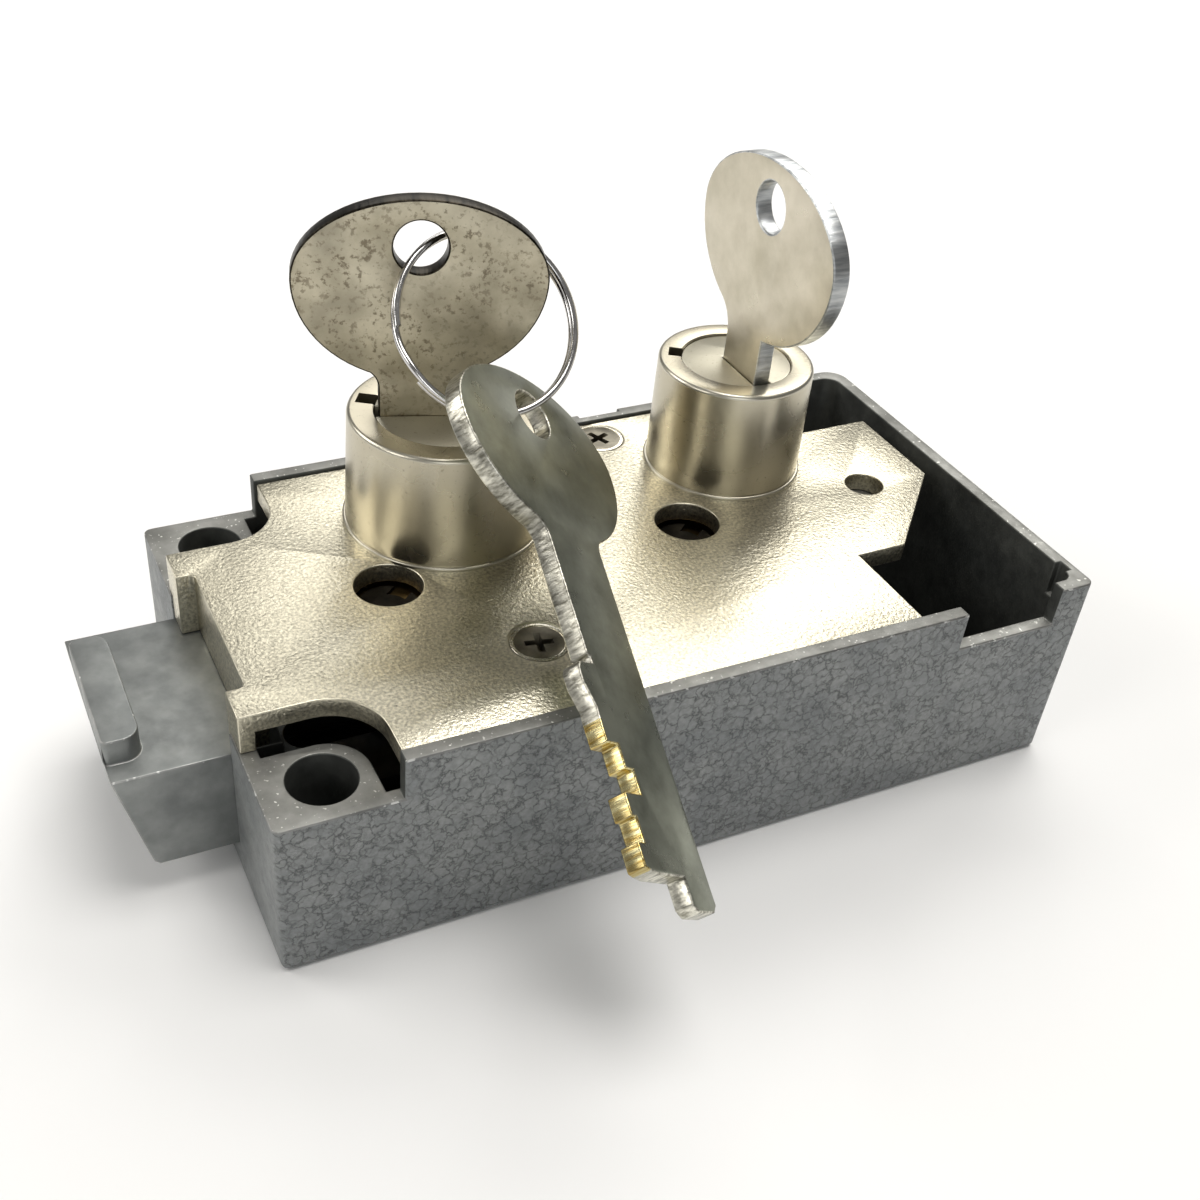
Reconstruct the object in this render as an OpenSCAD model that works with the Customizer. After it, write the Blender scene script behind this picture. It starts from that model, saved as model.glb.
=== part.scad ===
// Double-nose safe deposit lock, lying on the back of its case.
// Origin: middle of the case's back face. +X runs away from the bolt end,
// +Y towards the nose side, +Z out of the front of the lock.

/* [Case] */
// Length of the case along X
case_len = 104; // [100:1:108]
// Width of the case along Y
case_wid = 57.3; // [56.5:0.1:59]
// Height of the rim that stands round the cover
rim_h = 27.1; // [26.8:0.1:28]
// Height of the two lowered mounting lugs
lug_h = 21.7; // [20:0.1:22.5]
// Thickness of the side walls
wall = 1.9; // [1.5:0.1:2.2]
// Thickness of the floor
floor_t = 3; // [2.5:0.1:3.2]
// Radius of the two mounting holes
mount_r = 3.84; // [3:0.01:4]

/* [Cover] */
// Thickness of the cover plate
cover_t = 2.5; // [2:0.1:2.6]
// Height of the cover's top face
cover_top = 26.8; // [26.6:0.1:27]

/* [Noses] */
// Distance of both noses from the middle line
nose_y = 12.4; // [12:0.1:12.6]
// Place of the renter's nose along X
renter_x = -17.4; // [-18:0.1:-17]
// Place of the guard's nose along X
guard_x = 22.6; // [22:0.1:23]
// Height of the nose rims
nose_h = 41.7; // [38:0.1:44]
// Radius of the renter's plug
renter_plug_r = 8.6; // [8.4:0.05:8.7]
// Radius of the guard's plug
guard_plug_r = 7.0; // [6.8:0.05:7.1]

/* [Bolt] */
// How far the bolt's tip stands out of the case
bolt_out = 13; // [11.5:0.1:13]
// Travel of the bolt
bolt_throw = 10.9; // [9:0.1:10.9]
// Thickness of the bolt's head
bolt_h = 13.85; // [12:0.05:13.85]

/* [Keys] */
// Thickness of the key blanks
key_t = 2.2; // [1.8:0.1:2.2]
// Half the width of a key's bow
bow_a = 14.45; // [13:0.05:15]
// Radius of the hole in a bow
key_hole_r = 3.05; // [2.9:0.05:3.2]
// Middle radius of the split ring
ring_r = 10.55; // [10.4:0.05:10.7]
// Thickness of the ring's wire
ring_wire = 0.85; // [0.5:0.05:0.85]

/* [Levers] */
// Thickness of one lever
lever_t = 2.2; // [1.6:0.1:2.3]
// Distance from one renter lever to the next
renter_pitch = 2.6; // [2.5:0.05:2.6]
// Distance from one guard lever to the next
guard_pitch = 3.1; // [2.6:0.1:3.1]

/* [Hidden] */
$fn = 64;
e = 0.5;                        // how far a cutter runs past a face

// Case and cover
x0 = -case_len / 2;             // the end that the bolt comes out of
y0 = -case_wid / 2;
end_t = 2.1;                    // thickness of the bolt end's wall
bottom_ease = 0.9;              // width of the flat along the bottom edges
step_x = x0 + 14.2;             // where the rim drops to the lugs
lug_x = x0 + 12.75;
lug_y = y0 + 11.35;
lug_corner = 5;
mount_x = x0 + 7.1;
mount_y = 22.65;
sill_z = 4.4;                   // the bolt slides on this height
plate_z = cover_top - cover_t;  // underside of the cover plate
post_r = 2.5;
renter_post = [renter_x - 11.7, 0.55];
guard_post = [guard_x - 11.7, 0.55];
near_screw = [-16.9, -15.25];
far_screw = [9.3, 22.75];
screw_r = 1.6;
head_r = 3.5;
guide_boss = [37.8, 0.45];
hole_r = 4.1;                   // the two round windows over the lever posts
journal_r = 3.8;
journal_z = 1.1;

// Bolt
bolt_y = [-12.2, 13.75];
bolt_in = x0 + 6;               // inner end of the thick head
tail_t = 2.5;
tail_y = [-10.45, 8.25];
tail_x = 21.2;
bolt_z = sill_z + 0.1;
ridge_y = [-9.35, 9.5];
ridge_w = 4.3;
ridge_z = 21.6;
gap_y = [-11.45, 10.15];        // recess in the cover that the ridge runs into

// The renter's plug carries a drive pin; it works the bolt like a crank
turn = 90;
pin_orbit = bolt_throw / (2 * sin(turn / 2));
pin_r = 1.5;
pin_angle = 90 + turn / 2;
pin_slack = 0.35;
drive_disc_r = 9.4;
link_x = [-38.5, -32.5];        // the strip that carries the drive arm
arm_y = [16.5, 23.8];
arm_end = -18;

// Key places, measured along the blade from the plug's axis
renter_key_turn = -17.5;
renter_bow_s = -3.27;
renter_hole_z = 62.12;
guard_key_turn = -90;
guard_bow_s = 3.55;
guard_hole_z = 63.2;
keyway_w = 2.45;
notch_angle = 148;
chamber_z = 31;
renter_chamber_r = 11;
guard_chamber_r = 8.85;

// Key outlines: a runs across the blade, b down from the bow's hole
bow_up = 9.3;
bow_down = 12.3;
bow_hole_up = 3.9;
tip_b = -58.4;
renter_back = 5.2;
renter_front = -4.85;
renter_cuts = [-6.45, -4.4, -3.0, -6.1, -5.4, -6.6];
guard_back = -5.1;
guard_front = 2.7;
renter_shoulder_r = 2.4;
guard_shoulder_r = 4.5;
guard_cuts = [4.6, 3.7, 4.3, 3.4, 4.8];

// Levers
lever_z = 8.2;
renter_lift = [3.6, 3.1, 3.0, 3.5, 3.3, 3.6];
guard_stem_r = 5.2;
renter_stem_r = 6;
fence_r = 1.5;
leaf_t = 0.3;
renter_foot = [1.2, 22];        // where the spring sets stand on their anchors
guard_foot = [17.1, -24];
renter_fence_at = [-11, -4.65];
guard_fence_at = [15.5, -7.85];

// The spare key leans on the rim, and hangs from the ring
ring_at = [-14.81, 7.64, 54.61];
ring_turn = [48.7, 0, 1.9];
spare_at = [-12.96, -0.06, 46.18];
spare_turn = [33.1, 37, 16.1];

function arc(c, r, a0, a1, n) =
    [for (i = [0 : n]) c + r * [cos(a0 + (a1 - a0) * i / n), sin(a0 + (a1 - a0) * i / n)]];

// A bar from one corner to the opposite one
module bar(low, high) {
    translate(low) cube(high - low);
}

// A rectangle with its own radius on each corner, in the order
// low-low, high-low, high-high, low-high
module soft_rect(lo, hi, r) {
    corners = [lo, [hi.x, lo.y], hi, [lo.x, hi.y]];
    way = [[1, 1], [-1, 1], [-1, -1], [1, -1]];
    polygon([for (i = [0 : 3], k = [0, 1])
        let (first = (i % 2 == 0) == (k == 0))
        corners[i] + r[i] * (first ? [0, way[i].y] : [way[i].x, 0])]);
    for (i = [0 : 3])
        translate([corners[i].x + r[i] * way[i].x, corners[i].y + r[i] * way[i].y])
            circle(r[i]);
}

// ---------------------------------------------------------------- case

module lug_boss(side) {
    linear_extrude(lug_h)
        if (side < 0) soft_rect([x0, y0], [lug_x, lug_y], [1, 1, lug_corner, 1]);
        else soft_rect([x0, -lug_y], [lug_x, -y0], [1, lug_corner, 1, 1]);
}

module case_shell() {
    inner = [[x0 + end_t, y0 + wall], [-x0 - wall, -y0 - wall]];
    difference() {
        linear_extrude(rim_h) soft_rect([x0, y0], [-x0, -y0], [1, 1.1, 3, 1]);
        translate([0, 0, floor_t]) linear_extrude(rim_h)
            soft_rect(inner[0], inner[1], [0.8, 1.5, 2, 0.8]);
    }
}

module case() color("slategray") difference() {
    union() {
        case_shell();
        for (side = [-1, 1]) lug_boss(side);
        // bosses for the cover's screws and the guide boss under the tab
        for (p = [near_screw, far_screw])
            translate([p.x, p.y, 0]) cylinder(r = head_r, h = plate_z - 0.05);
        translate([guide_boss.x, guide_boss.y, 0]) cylinder(r = 3.3, h = plate_z - 0.05);
        // the sill and the two runners that the bolt slides on
        bar([x0 + 0.2, bolt_y[0] - e, floor_t - e], [x0 + end_t + 1, bolt_y[1] + e, sill_z]);
        for (y = [-9.5, 4.6])
            bar([x0 + end_t - e, y, floor_t - e], [tail_x + bolt_throw + 1, y + 2, sill_z]);
        // pads that carry the cover's edges
        for (p = [[2, y0 + wall - e, 3], [-33, -y0 - wall - 1.2, 3], [22, -y0 - wall - 1.2, 3]])
            bar([p.x, p.y, floor_t - e], [p.x + p.z, p.y + 1.2 + e, plate_z - 0.05]);
        // anchors for the two sets of lever springs
        bar([renter_foot.x - 2.5, renter_foot.y, floor_t - e],
            [renter_foot.x - 0.05, -y0 - wall + e, 23.2]);
        bar([guard_foot.x - 2.6, guard_foot.y, floor_t - e],
            [guard_foot.x - 0.05, guard_foot.y + 3, 23.2]);
    }
    // lowered end with the lugs
    bar([x0 - e, y0 - e, lug_h], [step_x, -y0 + e, rim_h + e]);
    // the bolt's doorway
    bar([x0 - e, bolt_y[0] - 0.1, sill_z], [x0 + end_t + e, bolt_y[1] + 0.1, rim_h]);
    // mounting holes
    for (y = [-mount_y, mount_y])
        translate([mount_x, y, -e]) cylinder(r = mount_r, h = lug_h + 2 * e);
    // tapped holes for the cover's screws
    for (p = [near_screw, far_screw])
        translate([p.x, p.y, 11]) cylinder(r = screw_r, h = plate_z);
    // sockets for the plugs' journals and the lever posts
    for (x = [renter_x, guard_x])
        translate([x, nose_y, journal_z - 0.1]) cylinder(r = journal_r + 0.05, h = floor_t);
    for (p = [renter_post, guard_post])
        translate([p.x, p.y, 1.2]) cylinder(r = post_r, h = floor_t);
    // notch in the near wall and the small relief beside it
    bar([-x0 - 19, y0 - e, 21.9], [-x0 - 4.8, y0 + wall + e, rim_h + e]);
    bar([-x0 - wall - e, y0 + 3.4, 22.5], [-x0 - wall + 0.9, y0 + 5.2, rim_h + e]);
    // shallow nick in the far rim
    bar([9, -y0 - 0.7, rim_h - 0.5], [15, -y0 + e, rim_h + e]);
    // softened bottom edges
    for (s = [-1, 1]) {
        translate([0, s * case_wid / 2, 0]) rotate([45, 0, 0])
            cube([case_len + 2, bottom_ease, bottom_ease], center = true);
        translate([s * case_len / 2, 0, 0]) rotate([0, 45, 0])
            cube([bottom_ease, case_wid + 2, bottom_ease], center = true);
    }
}

// --------------------------------------------------------------- cover

cut_r = 6.5;                    // round cut beside each mounting hole
tongue = [-16.15, 15.05];       // the cover's narrow end over the bolt
cover_far = -y0 - wall - 0.4;
tab_y = [-13.25, 14.8];
tab_x = [27.7, 34.6, 47.4];

module corner_cut(side) {
    edge = abs(side < 0 ? tongue[0] : tongue[1]);
    deep = -y0 + 5 - edge;          // from beyond the case's side to the tongue
    mirror([0, side < 0 ? 0 : 1]) translate([x0 - 5, y0 - 5]) {
        square([13, deep]);
        square([13 + cut_r, deep - cut_r]);
        translate([13, deep - cut_r]) circle(cut_r);
    }
}

module cover_outline() difference() {
    polygon([[x0 + 0.2, y0 + wall + 0.1], [tab_x[0], y0 + wall + 0.1],
        [tab_x[0], tab_y[0]], [tab_x[1], tab_y[0]], [tab_x[2], -0.05],
        [tab_x[2], tab_y[1]], [tab_x[0], tab_y[1]], [tab_x[0], cover_far],
        [x0 + 0.2, cover_far]]);
    for (side = [-1, 1]) corner_cut(side);
    // recess between the two horns
    soft_rect([x0 - 3, gap_y[0]], [x0 + 2.35, gap_y[1]], [1, 0.8, 0.8, 1]);
    translate(renter_post) circle(hole_r);
    translate(guard_post) circle(hole_r);
    translate(guide_boss) circle(2.5);
    translate([renter_x, nose_y]) circle(12.05);
    translate([guard_x, nose_y]) circle(9.95);
    for (p = [near_screw, far_screw]) translate(p) circle(screw_r + 0.2);
}

module cover() color("silver") difference() {
    union() {
        translate([0, 0, plate_z]) linear_extrude(cover_t) cover_outline();
        // the lip that closes the doorway over the bolt
        bar([x0 + 2.35, bolt_y[0], 18.45], [x0 + 4.5, bolt_y[1], plate_z + 0.1]);
        bar([x0 + 0.2, bolt_y[0], 18.45], [x0 + 2.4, gap_y[0], plate_z + 0.1]);
        bar([x0 + 0.2, gap_y[1], 18.45], [x0 + 2.4, bolt_y[1], plate_z + 0.1]);
        bar([x0 + 0.2, tongue[0], lug_h + 0.05], [x0 + 2.05, gap_y[0], plate_z + 0.1]);
        bar([x0 + 0.2, gap_y[1], lug_h + 0.05], [x0 + 2.05, tongue[1], plate_z + 0.1]);
    }
    for (p = [near_screw, far_screw])
        translate([p.x, p.y, cover_top - 1.7])
            cylinder(r1 = screw_r + 0.3, r2 = head_r + 0.1, h = 1.71);
}

// A nose: a spigot held in the cover, a bead, and a slightly tapered barrel
module nose(base_r, top_r, spigot_r, bore_r, chamber_r) {
    difference() {
        union() {
            translate([0, 0, plate_z]) cylinder(r = spigot_r, h = cover_t + 0.2);
            translate([0, 0, cover_top]) cylinder(r = base_r + 0.33, h = 0.5);
            translate([0, 0, cover_top]) cylinder(r1 = base_r, r2 = top_r, h = nose_h - cover_top);
        }
        translate([0, 0, plate_z - e]) cylinder(r = bore_r + 0.05, h = nose_h);
        translate([0, 0, plate_z - e]) cylinder(r = chamber_r, h = chamber_z - plate_z + e);
        // passage for the key's bit
        rotate([0, 0, notch_angle])
            bar([0, -1.15, plate_z - e], [chamber_r - 0.1, 1.15, nose_h + e]);
    }
}

module renter_nose() color("silver") translate([renter_x, nose_y, 0])
    nose(12.35, 11.9, 12, renter_plug_r, renter_chamber_r);

module guard_nose() color("silver") translate([guard_x, nose_y, 0])
    nose(10.15, 10.0, 9.9, guard_plug_r, guard_chamber_r);

module screw() {
    difference() {
        union() {
            translate([0, 0, cover_top - 1.65]) cylinder(r1 = screw_r + 0.2, r2 = head_r, h = 1.6);
            translate([0, 0, 11.5]) cylinder(r = screw_r, h = cover_top - 13);
        }
        // cross recess
        for (a = [0, 90]) rotate([0, 0, a + 25])
            bar([-1.9, -0.45, cover_top - 1.1], [1.9, 0.45, cover_top + e]);
    }
}

module cover_screws() color("dimgray")
    for (p = [near_screw, far_screw]) translate([p.x, p.y, 0]) screw();

// --------------------------------------------------------- lever posts

module lever_post(p) translate([p.x, p.y, 0]) {
    translate([0, 0, 1.2]) cylinder(r = post_r, h = 22.3);
    translate([0, 0, 23.45]) cylinder(r = 1.8, h = 0.6);
}

module renter_lever_post() color("gray") lever_post(renter_post);
module guard_lever_post() color("gray") lever_post(guard_post);

module post_clips() color("dimgray")
    for (p = [renter_post, guard_post]) translate([p.x, p.y, 23.5]) difference() {
        cylinder(r = 3.6, h = 0.5);
        translate([0, 0, -e]) cylinder(r = 1.85, h = 2);
        rotate([0, 0, 40]) bar([0, -1.2, -e], [5, 1.2, 2]);
    }

// Leaf springs: a foot on the anchor, then one thin arched strip a lever
module leaf(centre, r, a0, a1)
    polygon(concat(arc(centre, r, a0, a1, 14), arc(centre, r + leaf_t, a1, a0, 14)));

module spring_set(foot, count, pitch) {
    for (i = [0 : count - 1])
        translate([0, 0, lever_z + i * pitch + 0.4]) linear_extrude(lever_t - 0.8) {
            translate(foot) square([leaf_t, 3]);
            children();
        }
}

module renter_springs() color("lightsteelblue") spring_set(renter_foot, 6, renter_pitch)
    leaf([renter_foot.x - 9.14, renter_foot.y - 10.6], 14, 49.2, -48.5);

module guard_springs() color("lightsteelblue") spring_set(guard_foot, 5, guard_pitch)
    leaf([guard_foot.x + 8.2, guard_foot.y + 3], 7.9, 180, 92);

// ---------------------------------------------------------------- bolt

module bolt_side() {
    top = bolt_z + bolt_h;
    polygon([[x0 - bolt_out, top], [x0 - bolt_out + 3.3, bolt_z + 0.6],
        [x0 - bolt_out + 3.9, bolt_z], [bolt_in, bolt_z], [bolt_in, top]]);
}

module tail_outline() {
    pin = [renter_x, nose_y] + pin_orbit * [cos(pin_angle), sin(pin_angle)];
    half = pin_r + pin_slack;
    difference() {
        union() {
            translate([bolt_in - e, tail_y[0]])
                square([tail_x - bolt_in + e, tail_y[1] - tail_y[0]]);
            // drive arm on the far side of the renter's plug
            translate([link_x[0], tail_y[1] - e])
                square([link_x[1] - link_x[0], arm_y[1] - tail_y[1] + e]);
            translate([link_x[0], arm_y[0]])
                square([arm_end - link_x[0], arm_y[1] - arm_y[0]]);
        }
        // slots that let the lever posts pass
        for (p = [renter_post, guard_post]) {
            translate([p.x - bolt_throw, p.y - post_r - 0.2]) square([bolt_throw, 2 * post_r + 0.4]);
            for (x = [p.x - bolt_throw, p.x]) translate([x, p.y]) circle(post_r + 0.2);
        }
        // open slot for the drive pin
        translate([pin.x - half, arm_y[0] - e])
            square([2 * half, nose_y + pin_orbit + pin_r + 0.3 - arm_y[0] + e]);
        translate(renter_fence_at) circle(fence_r);
        translate(guard_fence_at) circle(fence_r);
    }
}

module bolt() color("darkgray") {
    translate([0, bolt_y[1], 0]) rotate([90, 0, 0])
        linear_extrude(bolt_y[1] - bolt_y[0]) bolt_side();
    // raised rib along the tip
    translate([0, 0, bolt_z + bolt_h - 0.3]) linear_extrude(ridge_z - bolt_z - bolt_h + 0.3)
        soft_rect([x0 - bolt_out, ridge_y[0]], [x0 - bolt_out + ridge_w, ridge_y[1]],
            [0.7, 2, 2, 1.2]);
    translate([0, 0, bolt_z]) linear_extrude(tail_t) tail_outline();
}

module fence(at) translate([at.x, at.y, bolt_z]) cylinder(r = fence_r, h = 23.2 - bolt_z);
module renter_fence() color("gray") fence(renter_fence_at);
module guard_fence() color("gray") fence(guard_fence_at);

// --------------------------------------------------------------- plugs

// slot gives the keyway's reach along the blade, and tip the narrower reach
// inside the journal
module plug(r, stem_r, disc_r, a, slot, tip) {
    difference() {
        union() {
            translate([0, 0, journal_z]) cylinder(r = journal_r, h = 8);
            translate([0, 0, 7.15]) cylinder(r = disc_r, h = 0.9);
            translate([0, 0, 7.5]) cylinder(r = stem_r, h = 17);
            translate([0, 0, 23.6]) cylinder(r = r, h = nose_h - 0.3 - 23.6);
        }
        rotate([0, 0, a]) {
            bar([slot[0], -keyway_w / 2, 7.1], [slot[1], keyway_w / 2, nose_h + e]);
            bar([tip[0], -keyway_w / 2, 3.5], [tip[1], keyway_w / 2, 8]);
        }
    }
}

module renter_plug() color("tan") translate([renter_x, nose_y, 0]) {
    plug(renter_plug_r, renter_stem_r, drive_disc_r, renter_key_turn, [-10, 2.05], [-3.1, 2.05]);
    rotate([0, 0, pin_angle]) translate([pin_orbit, 0, 4.7]) cylinder(r = pin_r, h = 2.8);
}

module guard_plug() color("tan") translate([guard_x, nose_y, 0])
    plug(guard_plug_r, guard_stem_r, guard_plug_r, guard_key_turn, [-1.65, 9], [-1.65, 2.6]);

// ---------------------------------------------------------------- keys

function bow_points() = [for (t = [0 : 5 : 355])
    [bow_a * cos(t), (t < 180 ? bow_up : bow_down) * sin(t) - bow_hole_up]];

// Height of the bow's underside at x
function bow_under(x) = -bow_down * sqrt(1 - pow(x / bow_a, 2)) - bow_hole_up;

// Hollow curve of radius r between the bow's underside and the shank's edge at x
module shoulder(x, r) {
    reach = 0.66 * r;
    y = bow_under(x) - reach;
    width = 0.6 * r + 1;
    difference() {
        translate([x < 0 ? x - width + 1 : x - 1, y]) square([width, reach + 1]);
        translate([x + sign(x) * r, y]) circle(r);
    }
}

// The bitted edge, one flat to each lever, from the top cut to the lowest
function bitting(cuts, first_b, pitch) = [for (i = [0 : len(cuts) - 1], k = [0, 1])
    [cuts[i], first_b - (i + k) * pitch]];

module renter_outline() difference() {
    union() {
        polygon(bow_points());
        for (x = [renter_front, renter_back]) shoulder(x, renter_shoulder_r);
        polygon(concat(
            [[renter_back, -10], [renter_front, -10], [renter_front, -31],
                [renter_front + 0.5, -31.2], [renter_front + 0.5, -32], [-6.9, -32.2],
                [-7.4, -33], [-7.4, -34.6], [-6.3, -37.2]],
            bitting(renter_cuts, -38.5, renter_pitch),
            [[-5.9, -54.4], [-4.6, -54.7], [0.4, -54.8], [0.4, -57.6], [1.2, tip_b],
                [4.4, tip_b], [renter_back, -57.6]]));
    }
    circle(key_hole_r);
}

module guard_outline() difference() {
    union() {
        polygon(bow_points());
        shoulder(guard_back, guard_shoulder_r);
        polygon(concat(
            [[guard_back, -10], [guard_back, -58.8], [guard_back + 0.8, -59.5],
                [-1.9, -59.5], [-1.2, -58.7], [-1.2, -55.7]],
            [for (i = [0 : 4], k = [0, 1]) [guard_cuts[4 - i], -55.7 + (i + k) * guard_pitch]],
            [[4.4, -39], [4.9, -38], [4.9, -33.6], [guard_front, -32.4], [guard_front, -10]]));
    }
    circle(key_hole_r);
}

module key_in_plug(x, turn_a, s, z) {
    translate([x, nose_y, 0]) rotate([0, 0, turn_a]) translate([s, 0, z])
        rotate([90, 0, 0]) linear_extrude(key_t, center = true) children();
}

module renter_key() color("darkkhaki")
    key_in_plug(renter_x, renter_key_turn, renter_bow_s, renter_hole_z) renter_outline();

module guard_key() color("darkkhaki")
    key_in_plug(guard_x, guard_key_turn, guard_bow_s, guard_hole_z) guard_outline();

module spare_key() color("khaki")
    translate(spare_at) rotate(spare_turn)
        linear_extrude(key_t, center = true) renter_outline();

module key_ring() color("lightgray") translate(ring_at) rotate(ring_turn)
    for (side = [-1, 1]) translate([0, 0, side * (ring_wire / 2 - 0.01)])
        rotate_extrude() translate([ring_r, 0]) circle(ring_wire / 2, $fn = 24);

// -------------------------------------------------------------- levers

// One lever: a boss on the post, a ring round the plug, and an arm with
// a pocket, a gate and a second pocket that the fence runs through
module lever(post, x, outer_r, window_r, fence_at, tilt, arm, pocket, gate_half) {
    linear_extrude(lever_t) difference() {
        union() {
            translate(post) circle(4.8);
            translate([x, nose_y]) circle(outer_r);
            translate(post) rotate(tilt) translate(-post)
                polygon([[arm[0], arm[2]], [arm[1], arm[2]], [arm[1], arm[3]],
                    [x + outer_r * 0.8, nose_y - outer_r * 0.6], [x - outer_r, nose_y],
                    [arm[0], arm[3]]]);
        }
        translate(post) circle(post_r + 0.05);
        translate([x, nose_y]) circle(window_r);
        translate(post) rotate(tilt) translate(-post) translate(fence_at) {
            translate([-fence_r - pocket[0], -pocket[1]])
                square([2 * fence_r + pocket[0] + 1.3, 2 * pocket[1]]);
            translate([0, -gate_half]) square([bolt_throw, 2 * gate_half]);
            translate([bolt_throw - fence_r - 1.3, -pocket[1]])
                square([2 * fence_r + 1.3 + pocket[0], 2 * pocket[1]]);
        }
    }
}

// i counts from the bottom, and the key's cuts from the top
module renter_lever(i) color("goldenrod")
    translate([0, 0, lever_z + (i - 1) * renter_pitch])
        lever(renter_post, renter_x, 12.9,
            max(-renter_cuts[6 - i] - renter_bow_s + 0.5, renter_stem_r + 1.7),
            renter_fence_at, -renter_lift[i - 1] / 2, [-30, 3.6, -9.6, 0.5], [0.4, 3.3], 2.05);

module guard_lever(i) color("goldenrod")
    translate([0, 0, lever_z + (i - 1) * guard_pitch])
        lever(guard_post, guard_x, 10.9,
            max(guard_cuts[5 - i] + guard_bow_s + 0.4, guard_stem_r + 1.7),
            guard_fence_at, 0, [8.5, 30.4, -12.4, 1], [1.3, 3.4], 1.9);

module renter_lever_1() renter_lever(1);
module renter_lever_2() renter_lever(2);
module renter_lever_3() renter_lever(3);
module renter_lever_4() renter_lever(4);
module renter_lever_5() renter_lever(5);
module renter_lever_6() renter_lever(6);
module guard_lever_1() guard_lever(1);
module guard_lever_2() guard_lever(2);
module guard_lever_3() guard_lever(3);
module guard_lever_4() guard_lever(4);
module guard_lever_5() guard_lever(5);

case();
cover();
renter_nose();
guard_nose();
cover_screws();
renter_lever_post();
guard_lever_post();
post_clips();
renter_springs();
guard_springs();
bolt();
renter_fence();
guard_fence();
renter_plug();
renter_key();
guard_plug();
guard_key();
renter_lever_1();
renter_lever_2();
renter_lever_3();
renter_lever_4();
renter_lever_5();
renter_lever_6();
guard_lever_1();
guard_lever_2();
guard_lever_3();
guard_lever_4();
guard_lever_5();
key_ring();
spare_key();
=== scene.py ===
# %% [markdown]
# # A double-nose safe deposit lock
# The lock lies on the back of its die-cast case. Two round noses stand out of a nickel cover, each
# with a flat key in its plug, and a spare key hangs from a split ring and leans on the rim.
# The imported model gives every part's size and place, so the first step loads it as a fixed frame.
# %% Load the frame
import math

import bmesh
import bpy
from mathutils import Euler, Matrix, Vector


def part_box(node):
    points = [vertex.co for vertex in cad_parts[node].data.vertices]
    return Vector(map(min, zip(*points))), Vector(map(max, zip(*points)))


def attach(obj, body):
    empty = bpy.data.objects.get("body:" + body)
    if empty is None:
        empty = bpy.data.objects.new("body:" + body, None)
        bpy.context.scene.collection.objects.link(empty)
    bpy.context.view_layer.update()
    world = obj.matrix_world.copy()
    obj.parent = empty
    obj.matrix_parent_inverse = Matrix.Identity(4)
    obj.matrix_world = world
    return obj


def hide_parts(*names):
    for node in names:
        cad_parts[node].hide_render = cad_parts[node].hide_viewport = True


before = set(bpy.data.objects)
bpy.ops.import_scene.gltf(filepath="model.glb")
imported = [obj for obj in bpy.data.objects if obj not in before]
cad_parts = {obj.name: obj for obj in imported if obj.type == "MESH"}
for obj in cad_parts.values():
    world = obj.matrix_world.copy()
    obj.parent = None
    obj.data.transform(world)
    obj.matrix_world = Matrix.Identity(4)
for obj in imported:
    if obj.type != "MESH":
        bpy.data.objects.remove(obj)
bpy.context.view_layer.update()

MM = 0.001

# %% [markdown]
# ## Camera
# A small object is usually shot from close by, from a little above, with a lens slightly longer
# than normal. The lens shift frames the lock without tilting the camera, as a view camera would.
# %% Camera
lens_data = bpy.data.cameras.new("view_camera")
lens_data.lens = 43.69
lens_data.sensor_width = 36
lens_data.shift_x = 0.057
lens_data.shift_y = 0.0567
lens_data.clip_start = 0.01
camera = bpy.data.objects.new("view_camera", lens_data)
camera.location = (-0.07564, -0.12938, 0.12845)
camera.rotation_euler = [math.radians(a) for a in (50.48, -3.28, -24.25)]
bpy.context.scene.collection.objects.link(camera)
bpy.context.scene.camera = camera
print("Camera", round(camera.location.length, 3), "m from the middle of the case's back")

# %% [markdown]
# ## Light
# Polished metal shows what stands round it more than it shows its own colour. So the light comes
# from a few very large soft panels: two behind, which the flat cover mirrors, one behind on the
# left, which draws a bright line down each nose, one at the left for the bolt, one overhead for
# the floor, and a weak one in front for the painted side. The world behind them is a plain warm
# grey and weak, so that the metal has something dark to mirror too.
# %% Light
def soft_panel(name, place, aim, size, power, colour=(1.0, 0.98, 0.95)):
    """A square area light that looks from place towards aim."""
    data = bpy.data.lights.new(name, "AREA")
    data.energy = power
    data.size = size
    data.color = colour
    panel = bpy.data.objects.new(name, data)
    panel.location = place
    panel.rotation_euler = (Vector(aim) - Vector(place)).to_track_quat("-Z", "Y").to_euler()
    bpy.context.scene.collection.objects.link(panel)
    return panel


soft_panel("panel_back", (0.20, 0.66, 0.62), (0, 0, 0.02), 0.50, 1.55, (1.0, 0.985, 0.95))
soft_panel("panel_back_right", (0.56, 0.46, 0.68), (0, 0, 0.02), 0.50, 3.0, (1.0, 0.985, 0.95))
soft_panel("panel_back_left", (-0.60, 0.46, 0.48), (0, 0, 0.02), 0.40, 2.2)
soft_panel("panel_left", (-0.82, -0.14, 0.50), (0, 0, 0.02), 0.35, 1.5)
soft_panel("panel_top", (0.15, -0.05, 0.90), (0, 0, 0), 0.5, 4.5)
soft_panel("panel_front", (-0.35, -0.95, 0.40), (0, 0, 0.02), 0.5, 1.6, (0.97, 0.99, 1.0))

world = bpy.data.worlds.new("studio")
world.use_nodes = True
world.node_tree.nodes["Background"].inputs["Color"].default_value = (1.0, 0.985, 0.96, 1)
world.node_tree.nodes["Background"].inputs["Strength"].default_value = 0.2
bpy.context.scene.world = world
bpy.context.scene.view_settings.view_transform = "Standard"

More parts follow.
